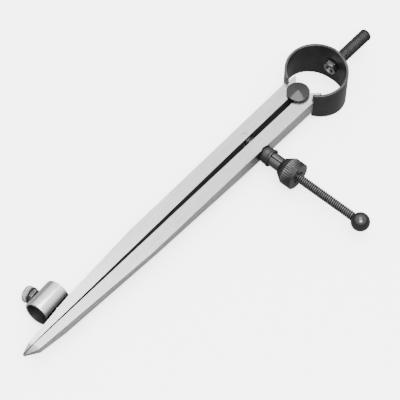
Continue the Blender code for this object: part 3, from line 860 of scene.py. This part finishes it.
pin = Vector(joints["screw_swing"]["pos_m"])
screw_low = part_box("adjusting_screw")[0]
ball_low, ball_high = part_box("screw_ball")
ball_radius = (ball_high.z - ball_low.z) / 2
ball_x = ball_high.x - ball_radius
eye_radius = pin.x - screw_low.x
across = Vector((1, 0, 0))
screw_line = (0, pin.y, pin.z)

threaded("screw_rod", SCREW_RADIUS + SCREW_CREST, THREAD_DEPTH, THREAD_PITCH,
         pin.x + eye_radius * 0.9, ball_x - ball_radius * 0.8,
         screw_line, across, (thread_oxide, "black_thread"),
         body="screw", stands_for=("adjusting_screw",))
turned("screw_eye",
       ring_profile([(SCREW_RADIUS, EYE_HOLE), (SCREW_RADIUS, eye_radius),
                     (-SCREW_RADIUS, eye_radius), (-SCREW_RADIUS, EYE_HOLE)], 0.25 * MM),
       pin, (0, 0, 1), (thread_oxide, "black_thread"), sides=64, body="screw")

pin_low, pin_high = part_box("screw_pin")
pin_radius = (pin_high.x - pin_low.x) / 2
pin_half = (pin_high.z - pin_low.z) / 2
turned("screw_pivot_pin",
       eased([(pin_half, 0), (pin_half, pin_radius), (-pin_half, pin_radius), (-pin_half, 0)],
             0.15 * MM),
       pin, (0, 0, 1), (leg_steel, "ground_steel"), sides=48,
       body="pencil_leg", stands_for=("screw_pin",))

ball_oxide = make_oxide("black_ball", (0.040, 0.040, 0.041), (0.052, 0.052, 0.053),
                        0.10, 0.1, 0.15)


def ball_profile():
    """A circle's arc from the rod's hole round to the far pole."""
    start = math.pi - math.asin(SCREW_RADIUS * 1.02 / ball_radius)
    angle = np.linspace(start, 0, 49)
    place = ball_radius * np.cos(angle)
    radius = ball_radius * np.sin(angle)
    mouth = [[place[0] + 1.0 * MM, 0], [place[0] + 1.0 * MM, SCREW_RADIUS * 0.98]]
    arc = np.vstack([mouth, np.stack([place, radius], axis=1)])
    return np.hstack([arc, np.zeros((len(arc), 1))])


turned("screw_end_ball", ball_profile(), (ball_x, pin.y, pin.z), across,
       (ball_oxide, "black_ball"), body="screw", stands_for=("screw_ball",))


# ---------------------------------------------------------------------------
# Dome washer. A blackened washer with a round nose that beds in the needle leg, so
# that the nut presses square to the screw at any spread.
# ---------------------------------------------------------------------------
DOME_RADIUS = 4.5 * MM
FLANGE = 1.0 * MM
DOME_BASE = 2.1 * MM                    # from the dome's centre to the flange
RECESS_DEPTH = 0.8 * MM
NECK_RADIUS = 3.8 * MM

washer_low, washer_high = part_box("dome_washer")
washer_radius = (washer_high.z - washer_low.z) / 2


def washer_profile():
    """A quarter circle from the nose, a step out to the flange, then the recess for the neck."""
    centre = washer_high.x - FLANGE - DOME_BASE
    start = math.acos((washer_low.x - centre) / DOME_RADIUS)
    angle = np.linspace(start, math.pi / 2, 17)
    dome = np.stack([centre + DOME_RADIUS * np.cos(angle), DOME_RADIUS * np.sin(angle)], axis=1)
    bore = SCREW_RADIUS + 0.3 * MM
    flange = washer_high.x - FLANGE
    recess, floor_x = NECK_RADIUS + 0.35 * MM, washer_high.x - RECESS_DEPTH
    outer = [(flange - 0.35 * MM, DOME_RADIUS), (flange, washer_radius),
             (washer_high.x, washer_radius), (washer_high.x, recess),
             (floor_x, recess), (floor_x, bore), (washer_low.x, bore)]
    return ring_profile(list(map(tuple, dome)) + outer, 0.16 * MM, 4)


turned("dome_nosed_washer", washer_profile(), screw_line, across,
       (oxide, "blackened_steel"), body="nut_seat", stands_for=("dome_washer",))


# ---------------------------------------------------------------------------
# Quick nut. Two half sleeves, threaded inside, lie on the screw with a thin slit
# between them; a knurled nut slides over them and presses them together.
# ---------------------------------------------------------------------------
JAW_SLIT = 0.5 * MM
JAW_TILT = math.radians(17)
BARREL = (25.5 * MM, 31.4 * MM)
END_FACE_RADIUS = 7.1 * MM
MOUTH_RADIUS = 3.2 * MM
MOUTH_DEPTH = 0.8 * MM
NUT_KNURL_DEPTH = 0.34 * MM

jaw_low, jaw_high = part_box("nut_jaw_a")
nut_low, nut_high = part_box("knurled_nut")
nut_radius = (nut_high.z - nut_low.z) / 2


def jaw_section(side):
    """Half a ring, less half the slit: an outer arc, then the bore's arc back."""
    bore = SCREW_RADIUS + 0.25 * MM
    start, end = (math.asin(JAW_SLIT / 2 / radius) for radius in (NECK_RADIUS, bore))
    outer = np.linspace(start, math.pi - start, 33)
    inner = np.linspace(math.pi - end, end, 25)
    across_slit = np.concatenate([NECK_RADIUS * np.cos(outer), bore * np.cos(inner)])
    away = np.concatenate([NECK_RADIUS * np.sin(outer), bore * np.sin(inner)]) * side
    y = -math.sin(JAW_TILT) * across_slit + math.cos(JAW_TILT) * away
    z = math.cos(JAW_TILT) * across_slit + math.sin(JAW_TILT) * away
    return y, z


pale_oxide = make_oxide("rubbed_black_oxide", (0.068, 0.068, 0.069), (0.10, 0.10, 0.102),
                        0.32, 0.1)


def jaw(name, side, node):
    """The section carried straight along the screw; a small bevel breaks its edges."""
    y, z = jaw_section(side)
    place = np.linspace(jaw_low.x, jaw_high.x, 3)[:, None] * np.ones(len(y))
    grid = np.stack([place, pin.y + y + 0 * place, pin.z + z + 0 * place], axis=-1)
    mesh = capped(grid_mesh(name, grid, np.zeros(grid.shape[:2])), *grid.shape[:2])
    piece = finish_mesh(mesh, name, pale_oxide, "blackened_steel", "quick_nut", (node,))
    bevel = piece.modifiers.new("broken_edges", "BEVEL")
    bevel.width = 0.12 * MM
    bevel.segments = 2
    bevel.limit_method = "ANGLE"
    bevel.angle_limit = math.radians(50)


jaw("neck_jaw_upper", 1, "nut_jaw_a")
jaw("neck_jaw_lower", -1, "nut_jaw_b")

nut_bore = NECK_RADIUS + 0.3 * MM
nut_profile = ring_profile(
    [(nut_low.x, nut_bore), (nut_low.x, nut_bore + 0.5 * MM), (BARREL[0], nut_radius),
     (BARREL[1], nut_radius), (nut_high.x, END_FACE_RADIUS), (nut_high.x, MOUTH_RADIUS),
     (nut_high.x - MOUTH_DEPTH, MOUTH_RADIUS), (nut_high.x - MOUTH_DEPTH, nut_bore)],
    0.16 * MM)
nut_oxide = make_oxide("knurled_black_oxide", (0.014, 0.014, 0.015), (0.022, 0.022, 0.023),
                       0.36, 1.0, 1.0, (0.17, 0.17, 0.173))
cone_rows = (nut_low.x + 1.0 * MM, BARREL[0] - 0.2 * MM)
barrel_rows = (BARREL[0] + 0.2 * MM, BARREL[1] - 0.1 * MM)
nut = turned("knurled_quick_nut",
             with_rows(with_rows(nut_profile, *barrel_rows, 66), *cone_rows, 44),
             screw_line, across, (nut_oxide, "blackened_steel"), sides=336,
             ripple=knurl(38, 1.6 * MM, NUT_KNURL_DEPTH, cone_rows[0], barrel_rows[1],
                          0.3 * MM),
             body="quick_nut", stands_for=("knurled_nut",))
normals, middles = face_table(nut)
beyond_barrel, end_on = middles[:, 0] > BARREL[1], normals[:, 0] >= 0.97
# Painted shade: beyond the barrel, the chamfer takes the near-black material. The flat end face
# takes the paler black.
repaint(nut, painted_shade_black, beyond_barrel & (normals[:, 0] > 0.3) & ~end_on)
repaint(nut, pale_oxide, beyond_barrel & end_on)


# ---------------------------------------------------------------------------
# Pencil sleeve and its rivet. A short nickel-plated steel tube, open at both ends,
# riveted to the leg's outer side; its bore is painted near-black as painted shade.
# ---------------------------------------------------------------------------
SLEEVE_YAW = math.radians(-6.2)
SLEEVE_DIP = math.radians(-5.0)
SLEEVE_LENGTH = 16.5 * MM
SLEEVE_RADIUS = 6.95 * MM
SLEEVE_WALL = 1.1 * MM
# Where the painted shade on the sleeve's side next to the leg starts and how far it spreads.
LEG_SHADE_START, LEG_SHADE_SPAN = 0.35, 0.6
RIVET_SHANK = 1.0 * MM
RIVET_RIM = (0.5 * MM, 0.8 * MM)

clamp_joint = joints["thumb_screw_turn"]
sleeve_middle = Vector(clamp_joint["pos_m"])
clamp_way = -Vector(clamp_joint["axis"])
sleeve_way = Vector((math.sin(SLEEVE_YAW) * math.cos(SLEEVE_DIP),
                     math.cos(SLEEVE_YAW) * math.cos(SLEEVE_DIP), math.sin(SLEEVE_DIP)))
# The last argument turns on the painted shade next to the leg.
nickel = make_plate("nickel_plate", (0.70, 0.70, 0.70), 0.2, (500, 1800, 1800),
                    (0.42, 0.42, 0.42), True)
bore_radius = SLEEVE_RADIUS - SLEEVE_WALL
half_sleeve = SLEEVE_LENGTH / 2
sleeve = turned("nickel_sleeve",
                ring_profile([(half_sleeve, bore_radius), (half_sleeve, SLEEVE_RADIUS),
                              (-half_sleeve, SLEEVE_RADIUS), (-half_sleeve, bore_radius)],
                             0.35 * MM, 7),
                sleeve_middle, sleeve_way, (nickel, "nickel"), sides=144,
                body="pencil_leg", stands_for=("pencil_sleeve",))


def from_axis(points):
    """The part of each point's offset that is square to the sleeve's axis."""
    offset, way = points - np.array(sleeve_middle), np.array(sleeve_way)
    return offset - np.outer(offset @ way, way)


normals, middles = face_table(sleeve)
outward = from_axis(middles)
# Painted shade: the faces of the bore take a near-black material.
repaint(sleeve, paint("sleeve_bore_painted_shade", (0.02, 0.02, 0.02), 0.5, 0.5)[0],
        np.sum(outward * normals, axis=1) < -0.4 * np.linalg.norm(outward, axis=1))


def mark_painted_leg_shade(piece):
    """Painted shade on the side next to the leg. With u the X part of the unit vector
    from the sleeve's axis, the shade is ((u - start) / span)^1.4, held between 0 and 1."""
    points = np.zeros(len(piece.data.vertices) * 3)
    piece.data.vertices.foreach_get("co", points)
    radial = from_axis(points.reshape(-1, 3))
    leg_way = radial[:, 0] / np.linalg.norm(radial, axis=1)
    shade_share = np.clip((leg_way - LEG_SHADE_START) / LEG_SHADE_SPAN, 0, 1) ** 1.4
    layer = piece.data.attributes.new("heat_tint", "FLOAT", "POINT")
    layer.data.foreach_set("value", shade_share.astype(np.float32))


mark_painted_leg_shade(sleeve)

rivet_low, rivet_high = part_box("sleeve_rivet")
rivet_centre = Vector((rivet_low.x, (rivet_low.y + rivet_high.y) / 2,
                       (rivet_low.z + rivet_high.z) / 2))
rivet_head = (rivet_high.z - rivet_low.z) / 2
rivet_length = rivet_high.x - rivet_low.x
turned("sleeve_rivet_head",
       eased([(0, 0), (0.12 * MM, 0.55 * rivet_head), (RIVET_RIM[0], rivet_head),
              (RIVET_RIM[1], rivet_head), (RIVET_RIM[1], RIVET_SHANK),
              (rivet_length, RIVET_SHANK), (rivet_length, 0)], 0.15 * MM),
       rivet_centre, across, (nickel, "nickel"), sides=48,
       body="pencil_leg", stands_for=("sleeve_rivet",))


# ---------------------------------------------------------------------------
# Clamp nut and thumb screw. A zinc hexagon nut is brazed to the sleeve; the thumb
# screw, with a knurled head, presses the pencil through it.
# ---------------------------------------------------------------------------
CLAMP_NUT_FLATS = 7.2 * MM
CLAMP_NUT_HEIGHT = 2.0 * MM
THUMB_RADIUS = 1.75 * MM
THUMB_HEAD_RADIUS = 4.35 * MM
THUMB_HEAD_HEIGHT = 3.5 * MM
THUMB_KNURL_DEPTH = 0.25 * MM
NUT_GAP = 0.3 * MM                      # between the sleeve's crown and the nut
HEAD_GAP = 0.5 * MM                     # between the nut and the thumb screw's head

clamp_seat = SLEEVE_RADIUS + NUT_GAP
nut_top = clamp_seat + CLAMP_NUT_HEIGHT
head_under = nut_top + HEAD_GAP
head_top = head_under + THUMB_HEAD_HEIGHT
dark_zinc = make_plate("dark_zinc_plate", (0.13, 0.13, 0.135), 0.3, (900, 900, 900),
                       (0.07, 0.07, 0.07))
silver = make_oxide("knurled_silver", (0.07, 0.07, 0.07), (0.12, 0.12, 0.12), 0.3, 1.0, 1.0,
                    (0.75, 0.75, 0.75))
hex_nut("sleeve_hex_nut", CLAMP_NUT_FLATS, THUMB_RADIUS + 0.12 * MM, clamp_seat, nut_top,
        sleeve_middle, clamp_way, (dark_zinc, "zinc"),
        body="pencil_leg", stands_for=("clamp_nut",))
threaded("thumb_screw_thread", THUMB_RADIUS, 0.24 * MM, 0.7 * MM, bore_radius + 0.1 * MM,
         head_under + 0.2 * MM, sleeve_middle, clamp_way, (zinc, "zinc"), body="clamp_screw")
head_profile = eased([(head_under, 0), (head_under, THUMB_HEAD_RADIUS),
                      (head_top, THUMB_HEAD_RADIUS), (head_top, 0)], 0.5 * MM, 7)
head_rows = (head_under + 0.55 * MM, head_top - 0.55 * MM)
turned("thumb_screw_head", with_rows(head_profile, *head_rows, 40), sleeve_middle, clamp_way,
       (silver, "zinc"), sides=216,
       ripple=knurl(26, 1.1 * MM, THUMB_KNURL_DEPTH, *head_rows, 0.25 * MM),
       body="clamp_screw", stands_for=("thumb_screw",))
